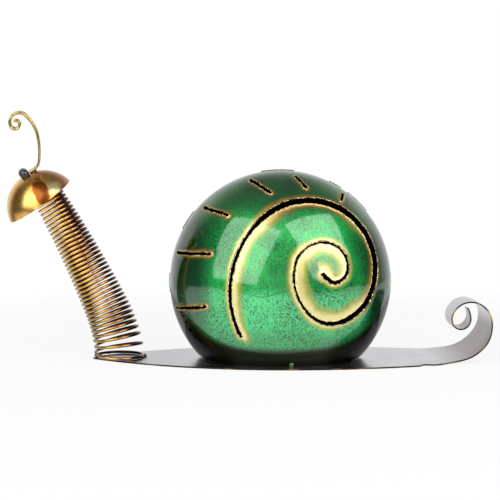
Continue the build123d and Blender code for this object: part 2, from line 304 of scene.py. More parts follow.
# Random patches: size in millimetres, detail and roughness, the range used and any stretch
WORN, WORN_RANGE = (24.0, 3.0), (0.36, 0.64)
STREAK, STREAK_RANGE, STREAK_STRETCH = (1.2, 3.0, 0.6), (0.52, 0.70), (1.0, 1.0, 0.14)
SPECK, SPECK_RANGE = (0.95, 2.0, 0.65), (0.49, 0.58)
HALO_BREAK, AMBER_RANGE, CREAM_RANGE = (7.0, 2.0), (0.06, 0.65), (0.45, 0.92)
LIP_GRAIN, LIP_WAVER, LIP_RANGE = (0.9,), (4.0,), (0.42, 0.60)
GOLD_FLECK, GOLD_RANGE, INSIDE_RANGE = (1.1,), (0.40, 0.55), (0.02, 0.15)
PRESS_WAVE = (9.0,)
WELD_LUMP, BURNT_LUMP, LUMP_RANGE = (1.4, 3.0), (1.1, 3.0), (0.35, 0.65)
SHEET_PATCH, SHEET_RANGE = (30.0, 3.0), (0.35, 0.7)
SHEET_HEAT, SHEET_HEAT_RANGE, SHEET_WAVE = (14.0, 2.0), (0.50, 0.66), (40.0,)
SHEET_BRUSH, SHEET_BRUSH_STRETCH = (0.5, 2.0), (0.05, 1.0, 1.0)
WIRE_PATCH, WIRE_BRUSH, WIRE_BRUSH_STRETCH = (9.0, 2.0), (0.8, 2.0), (1.0, 1.0, 4.0)
CAP_PATCH, CAP_RANGE, CAP_SMEAR = (12.0, 2.0), (0.3, 0.65), (4.0, 3.0)
CAP_BRUSH, CAP_BRUSH_RANGE, CAP_BRUSH_STRETCH = (1.0, 3.0), (0.55, 0.8), (1.0, 0.4, 1.0)
SMALL_PATCH, SMALL_RANGE = (2.0, 2.0), (0.30, 0.70)
# Ranges over a turn of the wire, -1 at its nose side and 1 at its tail side
TURN_ORANGE, TURN_COPPER = (0.20, 0.60), (0.58, 0.92)
TURN_NOSE_TIP, TURN_TAIL_TIP, TURN_FRONT = (0.78, 0.97), (0.66, 0.94), (0.6, 0.1)
# A range over the wire's own skin, -1 at its outer side and 1 at its inner side
SKIN_INSIDE = (-0.15, 0.35)
# Ranges over how far a face of the plate turns sideways and upwards
FACE_SIDEWAYS, FACE_UPWARDS = (0.25, 0.4), (0.4, 0.6)

# Two thin dark lines, a painted reflection of the floor's front edge: a long wavy one and a short
# straight one
EDGE_REFLECTION_WIDTH = (0.55, 0.15)
LONG_EDGE_REFLECTION_START, LONG_EDGE_REFLECTION_END = (-24.0, -20.0), (5.0, 1.0)
WAVE_SHIFT, WAVE_RATE, WAVE_SIZE, WAVE_HEIGHT = 5.3, 0.19, 2.0, 50.0
SHORT_EDGE_REFLECTION_START, SHORT_EDGE_REFLECTION_END = (19.0, 21.0), (36.0, 33.0)
SHORT_EDGE_REFLECTION_X, SHORT_EDGE_REFLECTION_HEIGHT, SHORT_EDGE_REFLECTION_SLOPE = 22.0, 50.8, 0.33


def painted_edge_reflections(x, z):
    """1 on two thin dark lines, a painted reflection of the floor's front edge."""
    wave = ((x + WAVE_SHIFT) * WAVE_RATE).math("SINE") * WAVE_SIZE + WAVE_HEIGHT
    long_one = abs(z - wave).ramp(*EDGE_REFLECTION_WIDTH)
    long_one = long_one * x.ramp(*LONG_EDGE_REFLECTION_START) * x.ramp(*LONG_EDGE_REFLECTION_END)
    off_line = z - SHORT_EDGE_REFLECTION_HEIGHT + (x - SHORT_EDGE_REFLECTION_X) * SHORT_EDGE_REFLECTION_SLOPE
    short_one = abs(off_line).ramp(*EDGE_REFLECTION_WIDTH)
    short_one = short_one * x.ramp(*SHORT_EDGE_REFLECTION_START) * x.ramp(*SHORT_EDGE_REFLECTION_END)
    return long_one.high(short_one)


def shell_green(x, z, worn, dark, foot):
    """The lacquer away from the cuts, darker to the sides, top and foot: painted shade to the
    sides and top, a painted reflection of the floor paler below the middle, a painted reflection
    of the floor's front edge as thin dark lines, and a painted reflection of the plate in dark
    olive at the foot.
    """
    green = worn.tint(LEAF_GREEN, DEEP_GREEN)
    # Painted reflection of the floor: paler below the middle, dimmer again near the bottom
    floor_reflection = worn.tint(FLOOR_REFLECTION_GREEN, FLOOR_REFLECTION_DEEP_GREEN)
    floor_reflection = z.ramp(*LOW_FROM).tint(floor_reflection, LOW_FLOOR_REFLECTION_GREEN)
    green = z.ramp(*FLOOR_REFLECTION_FROM).tint(green, floor_reflection)
    green = (dark * SPECK_SHARE).tint(green, SPECK_GREEN)
    shade = x.ramp(*NOSE_SHADE).high(x.ramp(*TAIL_SHADE))
    shade = shade.high(z.ramp(*TOP_SHADE) * TOP_SHADE_SHARE)
    green = (shade * SHADE_SHARE).tint(green, SHADED_GREEN)
    # Thin dark lines, a painted reflection of the floor's front edge
    green = (painted_edge_reflections(x, z) * EDGE_REFLECTION_SHARE).tint(green, EDGE_REFLECTION_GREEN)
    # The foot's dark olive is a painted reflection of the plate
    return foot.tint(green, PLATE_REFLECTION_OLIVE)


def shell_look():
    """Speckled green lacquer, amber to cream round the cuts, gold on their lips, near-black inside
    as painted shade.
    """
    spot = place()
    x, z = axis(spot, 0), axis(spot, 2)
    burr, halo = surface_number("burr"), surface_number("halo")
    dash, inside = surface_number("dash"), surface_number("inside")
    worn = grain(spot, *WORN).ramp(*WORN_RANGE)
    brushed = grain(place(*STREAK_STRETCH), *STREAK).ramp(*STREAK_RANGE)
    speck = grain(spot, *SPECK).ramp(*SPECK_RANGE)
    dark = (speck * (worn * 0.5 + 0.5) + brushed * 0.45).low(1.0)
    square = x * x
    # foot is 1 below a curved line near the bottom, where the plate's reflection is painted
    foot = z - square * square * PLATE_REFLECTION_RISE - PLATE_REFLECTION_HEIGHT
    foot = foot.ramp(*PLATE_REFLECTION_FADE)
    green = shell_green(x, z, worn, dark, foot)
    spread = halo + (grain(spot, *HALO_BREAK) - 0.5) * halo * 0.5
    # The halo comes in a lit copy and a darker shaded copy, painted shade at the top, the tail end
    # and on the dashes
    halo_lit = z.ramp(*HALO_SHADE_ABOVE) * x.ramp(*HALO_SHADE_BEYOND) * (1.0 - dash)
    color = spread.ramp(*AMBER_RANGE).tint(green, halo_lit.tint(SHADED_AMBER, LIT_AMBER))
    color = spread.ramp(*CREAM_RANGE).tint(color, halo_lit.tint(SHADED_CREAM, LIT_CREAM))
    rough = grain(spot, *LIP_GRAIN)
    edge = burr + (rough - 0.5) * 0.7 + (grain(spot, *LIP_WAVER) - 0.5) * 0.6
    edge = edge.ramp(*LIP_RANGE)
    gold = grain(spot, *GOLD_FLECK).ramp(*GOLD_RANGE).tint(SCORCHED_STEEL, BRIGHT_GOLD)
    # The inner skin and the cut walls are near-black, painted shade of the shell's hollow
    hollow_shade = inside.ramp(*INSIDE_RANGE)
    color = hollow_shade.tint(edge.tint(color, gold), HOLLOW_SHADE_BLACK)
    height = rough * edge + grain(spot, *PRESS_WAVE) * 0.06
    return {"Base Color": color,
            "Roughness": 0.42 + dark * 0.10 - edge * 0.15 + hollow_shade * 0.4,
            "Coat Weight": (1.0 - edge) * (1.0 - hollow_shade) * (1.0 - foot * 0.5),
            "Normal": bump(height, 0.35)}


def weld_look():
    """A weld bead under the green lacquer."""
    lump = grain(place(), *WELD_LUMP)
    color = lump.ramp(*LUMP_RANGE).tint(WELD_DARK, WELD_GREEN)
    return {"Base Color": color, "Roughness": 0.22 + lump * 0.2, "Normal": bump(lump, 0.4)}


def burnt_weld_look():
    """A bare weld bead, black and brown."""
    lump = grain(place(), *BURNT_LUMP)
    color = lump.ramp(*LUMP_RANGE).tint(WELD_BLACK, WELD_BROWN)
    return {"Base Color": color, "Roughness": 0.25 + lump * 0.25, "Normal": bump(lump, 0.3)}


def plate_look():
    """Grey sheet steel, mauve in the tail's bend, with burnt edges."""
    spot = place()
    x, z = axis(spot, 0), axis(spot, 2)
    normal = Field.put("ShaderNodeNewGeometry", out="Normal")
    sideways = abs(axis(normal, 1)).ramp(*FACE_SIDEWAYS)
    upright = 1.0 - abs(axis(normal, 2)).ramp(*FACE_UPWARDS)
    edge = sideways.high(upright * (1.0 - x.ramp(*ROLL_ZONE)))
    patch = grain(spot, *SHEET_PATCH)
    steel = patch.ramp(*SHEET_RANGE).tint(COOL_STEEL, PALE_STEEL)
    steel = x.ramp(*NOSE_ZONE).tint(steel, NOSE_STEEL)
    bend = x.ramp(*BEND_ACROSS) * z.ramp(*BEND_UP)
    steel = (bend * (0.7 + patch * 0.6)).low(1.0).tint(steel, MAUVE_STEEL)
    steel = blob(x, z, SCROLL_MIDDLE, SCROLL_REACH).tint(steel, INNER_STEEL)
    heat = grain(spot, *SHEET_HEAT).ramp(*SHEET_HEAT_RANGE)
    warm = heat * (0.25 + z.ramp(*STRAW_ZONE) * 0.75)
    color = edge.tint(steel, warm.tint(EDGE_BLACK, EDGE_STRAW))
    fine = grain(place(*SHEET_BRUSH_STRETCH), *SHEET_BRUSH)
    return {"Base Color": color, "Roughness": 0.16 + fine * 0.12 + edge * 0.2,
            "Normal": bump(grain(spot, *SHEET_WAVE), 0.8, 0.3)}


def wire_look():
    """Gold in front, copper towards the tail, paler on the upper front as painted light, and dark
    at the turns' ends and inside as painted shade.
    """
    spot = place()
    turn, inward = surface_number("across"), surface_number("inward")
    z = axis(spot, 2)
    tone = turn * 0.5 + 0.5 + (grain(spot, *WIRE_PATCH) - 0.5) * 0.5
    color = tone.ramp(*TURN_ORANGE).tint(WIRE_GOLD, WIRE_ORANGE)
    color = tone.ramp(*TURN_COPPER).tint(color, WIRE_COPPER)
    color = (z.ramp(*WIRE_LOW) * 0.42).tint(color, WIRE_LOW_BROWN)
    # Painted light: paler gold on the upper turns' front
    color = (z.ramp(*WIRE_HIGH) * turn.ramp(*TURN_FRONT) * 0.6).tint(color, WIRE_LIT_TOP_GOLD)
    # Painted shade, dark at each turn's nose and tail ends
    color = (-turn).ramp(*TURN_NOSE_TIP).tint(color, WIRE_NOSE_TIP_SHADE)
    color = turn.ramp(*TURN_TAIL_TIP).tint(color, WIRE_TAIL_TIP_SHADE)
    # Painted shade on the wire's inner side, towards the coil's middle
    color = inward.ramp(*SKIN_INSIDE).tint(color, WIRE_INNER_SHADE)
    scratch = grain(place(*WIRE_BRUSH_STRETCH), *WIRE_BRUSH)
    return {"Base Color": color, "Roughness": 0.12 + scratch * 0.10,
            "Normal": bump(scratch, 0.02)}


def dome_look():
    """Copper and gold, with painted shade browner above and behind, a painted highlight, and one
    dark band painted as the reflection of the gap between the lamps.
    """
    spot = place()
    x, z = axis(spot, 0), axis(spot, 2)
    brushed = grain(place(*CAP_BRUSH_STRETCH), *CAP_BRUSH)
    color = grain(spot, *CAP_PATCH).ramp(*CAP_RANGE).tint(DOME_COPPER, DOME_GOLD)
    # Painted shade: browner on the top and towards the back
    color = z.ramp(*CAP_TOP).tint(color, DOME_TOP_SHADE_BROWN)
    color = (x.ramp(*CAP_BACK) * 0.85).tint(color, DOME_BACK_SHADE_BROWN)
    # A painted highlight: a pale gold spot where a lamp's reflection falls
    color = blob(x, z, HIGHLIGHT_MIDDLE, HIGHLIGHT_REACH).tint(color, DOME_PAINTED_HIGHLIGHT)
    # A painted reflection of the dark gap between the lamps: a slanted dark orange band
    smear = (grain(spot, *CAP_SMEAR) - 0.5) * 1.6
    slanted = x + (z - DARK_BAND_SLANT_HEIGHT) * DARK_BAND_SLANT
    dark_band = blob(slanted, z, DARK_BAND_MIDDLE, DARK_BAND_REACH) + smear
    color = (dark_band.ramp(0.0, 0.65) * 0.95).tint(color, DOME_DARK_BAND)
    color = (brushed.ramp(*CAP_BRUSH_RANGE) * 0.45).tint(color, DOME_BRUSHED)
    return {"Base Color": color, "Roughness": 0.18 + brushed * 0.14,
            "Normal": bump(brushed, 0.03)}


def antenna_look():
    """Wire in pale gold."""
    patch = grain(place(), *SMALL_PATCH)
    color = patch.ramp(*SMALL_RANGE).tint(ANTENNA_GOLD, ANTENNA_STRAW)
    return {"Base Color": color, "Roughness": 0.16 + patch * 0.12, "Normal": bump(patch, 0.08)}


def eye_look():
    """A glossy black bead."""
    patch = grain(place(), *SMALL_PATCH)
    return {"Base Color": patch.tint(BEAD_BLACK, BEAD_BLUE), "Roughness": 0.04 + patch * 0.05}


SHELL = material("candy_green_shell", shell_look, metallic=1.0, coat_roughness=0.075,
                 coat_ior=1.75, specular_tint=LACQUER_TINT)
WELD = material("lacquered_weld", weld_look, metallic=1.0, coat_weight=0.8, coat_roughness=0.05)
BURNT_WELD = material("burnt_weld", burnt_weld_look, metallic=1.0)
PLATE = material("polished_foot_steel", plate_look, metallic=1.0)
WIRE = material("tinted_spring_wire", wire_look, metallic=1.0)
DOME = material("copper_gold_dome", dome_look, metallic=1.0, coat_weight=0.2, coat_roughness=0.06)
ANTENNA = material("pale_gold_wire", antenna_look, metallic=1.0)
EYE = material("black_bead", eye_look, coat_weight=1.0, coat_roughness=0.02)

CAD_LOOKS = {
    "foot_plate": PLATE,
    "shell_seam_welds": WELD,
    "shell_foot_tacks": WELD,
    "neck_foot_tacks": BURNT_WELD,
    "neck_head_welds": BURNT_WELD,
    "head_dome": DOME,
    "antenna_left": ANTENNA,
    "antenna_right": ANTENNA,
    "antenna_weld": BURNT_WELD,
    "eye_left": EYE,
    "eye_right": EYE,
}
for node_name, look in CAD_LOOKS.items():
    for part in NODES[node_name].material_slots:
        part.material = look


def new_piece(name, points, faces, look, smooth_angle=math.radians(40)):
    """A closed mesh in metres from points in millimetres."""
    mesh = bpy.data.meshes.new(name)
    mesh.from_pydata([tuple(p) for p in np.asarray(points) * MM], [], faces)
    mesh.validate()
    mesh.materials.append(look)
    mesh.shade_smooth()
    mesh.set_sharp_from_angle(angle=smooth_angle)
    piece = bpy.data.objects.new(name, mesh)
    bpy.context.scene.collection.objects.link(piece)
    return piece


def give_number(piece, name, values):
    """Stores one number for each point of a mesh."""
    row = piece.data.attributes.new(name, "FLOAT", "POINT")
    row.data.foreach_set("value", np.asarray(values, dtype=np.float32))


# Each ragged edge has a seed of its own
SEED_STEP = 7.31
SPIRAL_SEED, DASH_SEED, BURR_SEED, BURR_FINE_SEED, HALO_SEED = 1, 11, 5, 9, 21


def wobble(x, y, size, seed):
    """Smooth random number from -1 to 1."""
    return noise.noise(Vector((x / size, y / size, seed * SEED_STEP)))


def arc_points(start, heading, bends, step):
    """Points along right-hand arcs, each with its place and its width."""
    x, z = start
    angle = math.radians(heading)
    spots = []
    for turn, radius, width in bends:
        turn = math.radians(turn)
        count = max(2, int(radius * turn / step))
        cx, cz = x + radius * math.sin(angle), z - radius * math.cos(angle)
        for k in range(count):
            way = angle - turn * k / count
            spots.append((cx - radius * math.sin(way), cz + radius * math.cos(way), way, width))
        angle -= turn
        x, z = cx - radius * math.sin(angle), cz + radius * math.cos(angle)
    spots.append((x, z, angle, width))
    return spots


def smooth(values, reach):
    """A running mean that keeps its length."""
    values = np.asarray(values, dtype=float)
    kernel = np.ones(2 * reach + 1) / (2 * reach + 1)
    return np.convolve(np.pad(values, reach, mode="edge"), kernel, mode="valid")


# Torch-cut slots, in millimetres: their step, least half width, ragged edges and blunt ends
SPOT_STEP = 0.5
MIN_HALF_SLOT = 0.22
SPIRAL_RAGGED, DASH_RAGGED = 0.34, 0.55
COARSE_JAG, FINE_JAG, COARSE_JAG_SHARE = 3.7, 1.3, 0.6
TIP_REACH, TIP_ANGLE = 0.8, 0.7
WIDTH_SMOOTHING = 16
DASH_MIDDLE_SHARE = 0.95


def slot_outline(spots, widths, seed, ragged):
    """A ragged closed outline round a line of spots, as (x, z) points."""
    left, right = [], []
    for (x, z, way, _), width in zip(spots, widths):
        nx, nz = -math.sin(way), math.cos(way)
        for row, side in ((left, 1), (right, -1)):
            jag = wobble(x, z, FINE_JAG, seed + side)
            jag += COARSE_JAG_SHARE * wobble(x, z, COARSE_JAG, seed + 3 * side)
            out = side * max(MIN_HALF_SLOT, width / 2 + ragged * jag)
            row.append((x + nx * out, z + nz * out))
    ends = []
    for (x, z, way, _), tip in ((spots[-1], widths[-1] / 2), (spots[0], -widths[0] / 2)):
        turns = [way + a for a in (TIP_ANGLE, 0, -TIP_ANGLE)]
        ends.append([(x + tip * math.cos(a) * TIP_REACH, z + tip * math.sin(a) * TIP_REACH)
                     for a in turns])
    return left + ends[0] + right[::-1] + ends[1]


def spiral_line(size, shift):
    """Spots along the middle of the spiral, with their heading and width."""
    bends = [(t, r * size * SHELL_RADIUS, w * size * SLOT_WIDTH) for t, r, w in SPIRAL_BENDS]
    start = [at * size + move for at, move in zip(SPIRAL_START, shift)]
    return arc_points(start, SPIRAL_HEADING, bends, SPOT_STEP)


def slot_outlines(spots, dash_turn):
    """The ragged outlines of one bowl's spiral and of its dashes."""
    widths = smooth([spot[3] for spot in spots], WIDTH_SMOOTHING)
    outlines = [slot_outline(spots, widths, SPIRAL_SEED, SPIRAL_RAGGED)]
    c, s = math.cos(math.radians(dash_turn)), math.sin(math.radians(dash_turn))
    turn = np.array([[c, -s], [s, c]]) * SHELL_RADIUS
    for index, (outer, inner) in enumerate(DASHES):
        a, b = turn @ outer, turn @ inner
        way = math.atan2(*(b - a)[::-1])
        count = max(6, int(np.hypot(*(b - a)) / SPOT_STEP))
        line = [(*(a + (b - a) * k / count), way, DASH_WIDTH) for k in range(count + 1)]
        widths = [DASH_WIDTH * DASH_MIDDLE_SHARE] * len(line)
        outlines.append(slot_outline(line, widths, DASH_SEED + index, DASH_RAGGED))
    return outlines


LIP_SMOOTH_ANGLE = math.radians(50)
TINY = 1e-9
# The distance over a bowl from its pole to its rim, as the map keeps it
POLE_TO_RIM = SHELL_RADIUS * math.pi / 2
RIM_POINTS, RIM_TRIES, SEAM_POINTS = 150, 30, 300


def to_flat(x, z):
    """From the side view to a map of the bowl that keeps distances to its pole."""
    out = np.hypot(x, z)
    reach = np.arcsin(np.clip(out / SHELL_RADIUS, 0, 1)) * SHELL_RADIUS
    scale = np.where(out > TINY, reach / np.maximum(out, TINY), 1.0)
    return x * scale, z * scale


def from_flat(p, q, radius, depth):
    """From the map to a place on a bowl with this radius and depth."""
    reach = np.hypot(p, q)
    angle = reach / SHELL_RADIUS
    spread = radius * np.sin(angle) / np.maximum(reach, TINY)
    out = np.where(reach > TINY, spread, radius / SHELL_RADIUS)
    return p * out, -depth * np.cos(angle), q * out


def bottom_rim():
    """The bowl's cut edge on the foot, from the tail end to the nose end."""
    row = []
    end = math.sqrt(SHELL_RADIUS**2 - (SEAT_DROP - END_LIFT) ** 2)
    for x in np.linspace(end, -end, RIM_POINTS):
        z = -SEAT_DROP
        for _ in range(RIM_TRIES):
            inside = max(0.0, 1 - (x * x + z * z) / SHELL_RADIUS**2)
            y = SHELL_DEPTH * math.sqrt(inside)
            z = -SEAT_DROP + END_LIFT * max(0.0, 1 - y / SEAT_HALF_WIDTH)
        row.append((x, z))
    row[0] = (end, -SEAT_DROP + END_LIFT)
    row[-1] = (-end, -SEAT_DROP + END_LIFT)
    return row


def shell_border():
    """The whole edge of one bowl on the map, anticlockwise."""
    rim = bottom_rim()[::-1]
    flat_rim = [tuple(float(v) for v in to_flat(x, z)) for x, z in rim]
    start = math.atan2(rim[-1][1], rim[-1][0])
    stop = math.pi - start
    angles = [start + (stop - start) * k / SEAM_POINTS for k in range(1, SEAM_POINTS)]
    seam = [(POLE_TO_RIM * math.cos(a), POLE_TO_RIM * math.sin(a)) for a in angles]
    return flat_rim + seam


def inside_of(points, outline):
    """Which points lie inside a closed outline."""
    x, y = points[:, 0], points[:, 1]
    hit = np.zeros(len(points), dtype=bool)
    last = outline[-1]
    for here in outline:
        crosses = (here[1] > y) != (last[1] > y)
        if crosses.any():
            with np.errstate(divide="ignore", invalid="ignore"):
                cut = (last[0] - here[0]) * (y - here[1]) / (last[1] - here[1]) + here[0]
            hit ^= crosses & (x < cut)
        last = here
    return hit


def resample(outline, step):
    """The same closed outline with points about one step apart."""
    ring = np.array(outline + [outline[0]])
    run = np.r_[0, np.cumsum(np.hypot(*np.diff(ring, axis=0).T))]
    count = max(8, int(run[-1] / step))
    at = np.linspace(0, run[-1], count, endpoint=False)
    columns = [np.interp(at, run, column) for column in ring.T]
    return [(float(a), float(b)) for a, b in zip(*columns)]


def in_sheet(points, border, cuts):
    """Which points lie inside the border and outside every cut."""
    keep = inside_of(points, border)
    for ring in cuts:
        keep &= ~inside_of(points, ring)
    return keep


def point_tree(points):
    """A tree that finds the nearest of some points on the map."""
    tree = KDTree(len(points))
    for index, (a, b) in enumerate(points):
        tree.insert((a, b, 0), index)
    tree.balance()
    return tree


# The mesh of the bowls, in millimetres: the step along a cut and the even grid
CUT_STEP = 0.42
GRID_STEP, ROW_SHARE = 1.5, 0.866
# Rings of points beside a cut, each as its distance and one point kept in so many
CUT_RINGS = ((0.3, 1), (0.62, 1), (1.0, 2), (1.5, 2), (2.2, 3))
RING_GAP_SHARE, GRID_GAP, BORDER_GAP = 0.8, 2.6, 0.5
SAME_POINT = 1e-5


def beside_cut(ring):
    """Points on both sides of a cut, with their distance from it."""
    loop = np.array(ring)
    ahead = np.roll(loop, -1, axis=0) - np.roll(loop, 1, axis=0)
    across = np.stack([ahead[:, 1], -ahead[:, 0]], 1)
    across /= np.maximum(np.hypot(*across.T), TINY)[:, None]
    return [(float(a), float(b), out) for out, every in CUT_RINGS for side in (-1, 1)
            for a, b in (loop + across * out * side)[::every]]


def grid_points():
    """An even grid of points over the bowl's map."""
    rows = POLE_TO_RIM / (GRID_STEP * ROW_SHARE)
    columns = POLE_TO_RIM / GRID_STEP
    grid = []
    for row in range(int(-rows) - 1, int(rows) + 2):
        for column in range(int(-columns) - 1, int(columns) + 2):
            a = (column + 0.5 * (row % 2)) * GRID_STEP
            b = row * GRID_STEP * ROW_SHARE
            if a * a + b * b < (POLE_TO_RIM - BORDER_GAP) ** 2:
                grid.append((a, b))
    return grid


def cut_rings(spiral, dash_turn):
    """The closed edges of one bowl's slots on its map, evenly spaced."""
    rings = []
    for outline in slot_outlines(spiral, dash_turn):
        p, q = to_flat(*np.array(outline).T)
        rings.append(resample(list(zip(p.tolist(), q.tolist())), CUT_STEP))
    return rings


def fill_points(border, cuts, gap):
    """Points for the sheet between its border and its cuts, finer near a cut."""
    fill = [(a, b) for ring in cuts for a, b, out in beside_cut(ring)
            if gap(a, b) > out * RING_GAP_SHARE]
    fill += [(a, b) for a, b in grid_points() if gap(a, b) > GRID_GAP]
    spots = np.array(fill)
    keep = in_sheet(spots, border, cuts)
    border_tree = point_tree(border)
    keep &= np.array([border_tree.find((a, b, 0))[2] > BORDER_GAP for a, b in fill])
    return [tuple(map(float, spot)) for spot in spots[keep]]


def triangulate(border, cuts, fill):
    """Points and triangles of the sheet, all triangles facing the same way."""
    points, loops = [], []
    for ring in [border, *cuts]:
        loops.append(list(range(len(points), len(points) + len(ring))))
        points += ring
    edges = [(loop[k], loop[(k + 1) % len(loop)]) for loop in loops for k in range(len(loop))]
    vectors = [Vector(spot) for spot in points + fill]
    verts, _, faces, _, _, _ = delaunay_2d_cdt(vectors, edges, [], 0, SAME_POINT)
    flat = np.array([tuple(v) for v in verts])
    tris = np.array([f for f in faces if len(f) == 3])
    tris = tris[in_sheet(flat[tris].mean(axis=1), border, cuts)]
    used = np.unique(tris)
    number = np.full(len(flat), -1)
    number[used] = np.arange(len(used))
    flat = flat[used]
    tris = number[tris]
    a, b, c = flat[tris[:, 0]], flat[tris[:, 1]], flat[tris[:, 2]]
    turn = (b[:, 0] - a[:, 0]) * (c[:, 1] - a[:, 1]) - (b[:, 1] - a[:, 1]) * (c[:, 0] - a[:, 0])
    tris[turn < 0] = tris[turn < 0][:, ::-1]
    return flat, tris


def build_shell_map(size=1.0, shift=(0.0, 0.0), dash_turn=0.0):
    """One bowl on its map: points, triangles, and each point's gap, dash and hollow.

    The gap is the distance to the nearest cut, the dash is 1 where that cut is a
    dash, and the hollow is 1 on the inner side of the spiral.
    """
    border = shell_border()
    spiral = spiral_line(size, shift)
    cuts = cut_rings(spiral, dash_turn)
    cut_tree = point_tree([spot for ring in cuts for spot in ring])
    flat_spiral = to_flat(*np.array([spot[:2] for spot in spiral]).T)
    spiral_tree = point_tree(list(zip(*flat_spiral)))

    def gap(a, b):
        return cut_tree.find((a, b, 0))[2]

    def by_dash(a, b):
        return float(cut_tree.find((a, b, 0))[1] >= len(cuts[0]))

    def in_hollow(a, b):
        spot, index, _ = spiral_tree.find((a, b, 0))
        way = spiral[index][2]
        out = -math.sin(way) * (a - spot[0]) + math.cos(way) * (b - spot[1])
        return float(out < 0)

    flat, tris = triangulate(border, cuts, fill_points(border, cuts, gap))
    numbers = [np.array([measure(p, q) for p, q in flat]) for measure in (gap, by_dash, in_hollow)]
    return flat, tris, *numbers


# The relief beside a cut, in millimetres: a ragged burr on its lip and a dip behind it
RIDGE_AT, RIDGE_REACH = 0.25, 0.36
BURR_HEIGHT, BURR_CHANGE, BURR_LIMIT, BURR_INNER_LOSS = 0.34, 0.60, 0.9, 0.5
BURR_LUMP, BURR_FINE_LUMP, BURR_FINE_SHARE = 1.6, 0.8, 0.5
DIP_AT, DIP_REACH, DIP_DEPTH = 2.0, 1.1, 0.12
RIM_FADE = 3.0
# The amber halo, in millimetres: wide inside the spiral and wider round its inner whorl, partly as
# a painted highlight; narrow at the top and the tail end, with the painted shade
HALO_WIDTH, HALO_INNER, HALO_MIDDLE, HALO_DASH = 3.0, 3.6, 1.4, 2.2
HALO_MIDDLE_AT, HALO_MIDDLE_REACH = (26, 66), 18.0
NARROW_ABOVE, NARROW_OVER, NARROW_BEYOND, NARROW_ACROSS = 90, 14, 44, 10
NARROW_SHARE, HALO_CHANGE, HALO_PATCH = 0.75, 0.35, 18.0
# The bright lip itself, and how much weaker it is on the inner side
LIP_START, LIP_REACH, LIP_INNER_LOSS = 1.25, 0.75, 0.35


def seeded(flat, size, seed):
    """A smooth random number for each point of the map."""
    return np.array([wobble(a, b, size, seed) for a, b in flat])


def cut_relief(flat, away, hollow):
    """How far each point of the outer skin stands out beside the cuts."""
    ragged = seeded(flat, BURR_LUMP, BURR_SEED)
    ragged = ragged + BURR_FINE_SHARE * seeded(flat, BURR_FINE_LUMP, BURR_FINE_SEED)
    ridge = np.exp(-((away - RIDGE_AT) / RIDGE_REACH) ** 2)
    height = np.clip(BURR_HEIGHT + BURR_CHANGE * ragged, 0.0, BURR_LIMIT)
    lift = ridge * height * (1 - BURR_INNER_LOSS * hollow)
    dip = np.exp(-((away - DIP_AT) / DIP_REACH) ** 2) * DIP_DEPTH
    rim_keep = np.clip((POLE_TO_RIM - np.hypot(*flat.T)) / RIM_FADE, 0, 1)
    return (lift - dip) * rim_keep


def heat_halo(flat, x, z, away, dash, hollow):
    """1 at a cut, fading to 0 over the width of its amber halo."""
    # narrow follows the painted shade at the top and the tail end
    narrow = np.clip((z - NARROW_ABOVE) / NARROW_OVER, 0, 1)
    narrow = np.clip(narrow + np.clip((x - NARROW_BEYOND) / NARROW_ACROSS, 0, 1), 0, 1)
    middle_x, middle_z = HALO_MIDDLE_AT
    # whorl widens the pale halo round the spiral's middle, partly a painted highlight of a lamp
    whorl = np.exp(-((x - middle_x) ** 2 + (z - middle_z) ** 2) / HALO_MIDDLE_REACH**2)
    wide = (HALO_INNER + HALO_MIDDLE * whorl) * hollow * (1 - NARROW_SHARE * narrow)
    wide = np.where(dash > 0, HALO_DASH, HALO_WIDTH + wide)
    wide = wide * (1 + HALO_CHANGE * seeded(flat, HALO_PATCH, HALO_SEED))
    return np.exp(-(away / wide) ** 2)


def two_skins(tris, count):
    """Faces of the outer skin, of the inner skin and of the walls between them."""
    edges = {}
    for tri in tris:
        for k in range(3):
            edges[(int(tri[k]), int(tri[(k + 1) % 3]))] = True
    open_edges = [edge for edge in edges if (edge[1], edge[0]) not in edges]
    faces = [tuple(int(v) for v in tri) for tri in tris]
    faces += [tuple(int(v) + count for v in tri[::-1]) for tri in tris]
    return faces + [(b, a, a + count, b + count) for a, b in open_edges]


def make_shell(name, side, flat, tris, away, dash, hollow):
    """One bowl of sheet steel with burred cuts; side is -1 for left, 1 for right."""
    p, q = flat.T
    ox, oy, oz = from_flat(p, q, SHELL_RADIUS, SHELL_DEPTH)
    inner = np.stack(from_flat(p, q, SHELL_RADIUS - SHELL_WALL, SHELL_DEPTH - SHELL_WALL), 1)
    normal = np.stack([ox / SHELL_RADIUS**2, oy / SHELL_DEPTH**2, oz / SHELL_RADIUS**2], 1)
    normal /= np.linalg.norm(normal, axis=1)[:, None]
    outer = np.stack([ox, oy, oz], 1) + normal * cut_relief(flat, away, hollow)[:, None]
    floor = PLATE_TOP - SHELL_HEIGHT
    for skin in (outer, inner):
        low = floor + END_LIFT * np.clip(1 - np.abs(skin[:, 1]) / SEAT_HALF_WIDTH, 0, 1)
        skin[:, 2] = np.maximum(skin[:, 2], low)
        skin[:, 2] += SHELL_HEIGHT
        skin[:, 1] *= -side
    faces = two_skins(tris, len(flat))
    if side > 0:
        faces = [face[::-1] for face in faces]
    piece = new_piece(name, np.concatenate([outer, inner]), faces, SHELL, LIP_SMOOTH_ANGLE)
    halo = heat_halo(flat, outer[:, 0], outer[:, 2], away, dash, hollow)
    burr = np.clip(LIP_START - away / LIP_REACH, 0, 1) * (1 - LIP_INNER_LOSS * hollow)
    none, full = np.zeros(len(flat)), np.ones(len(flat))
    for number, on_outer, on_inner in (("halo", halo, halo), ("dash", dash, dash),
                                       ("burr", burr, none), ("inside", none, full)):
        give_number(piece, number, np.concatenate([on_outer, on_inner]))
    return piece


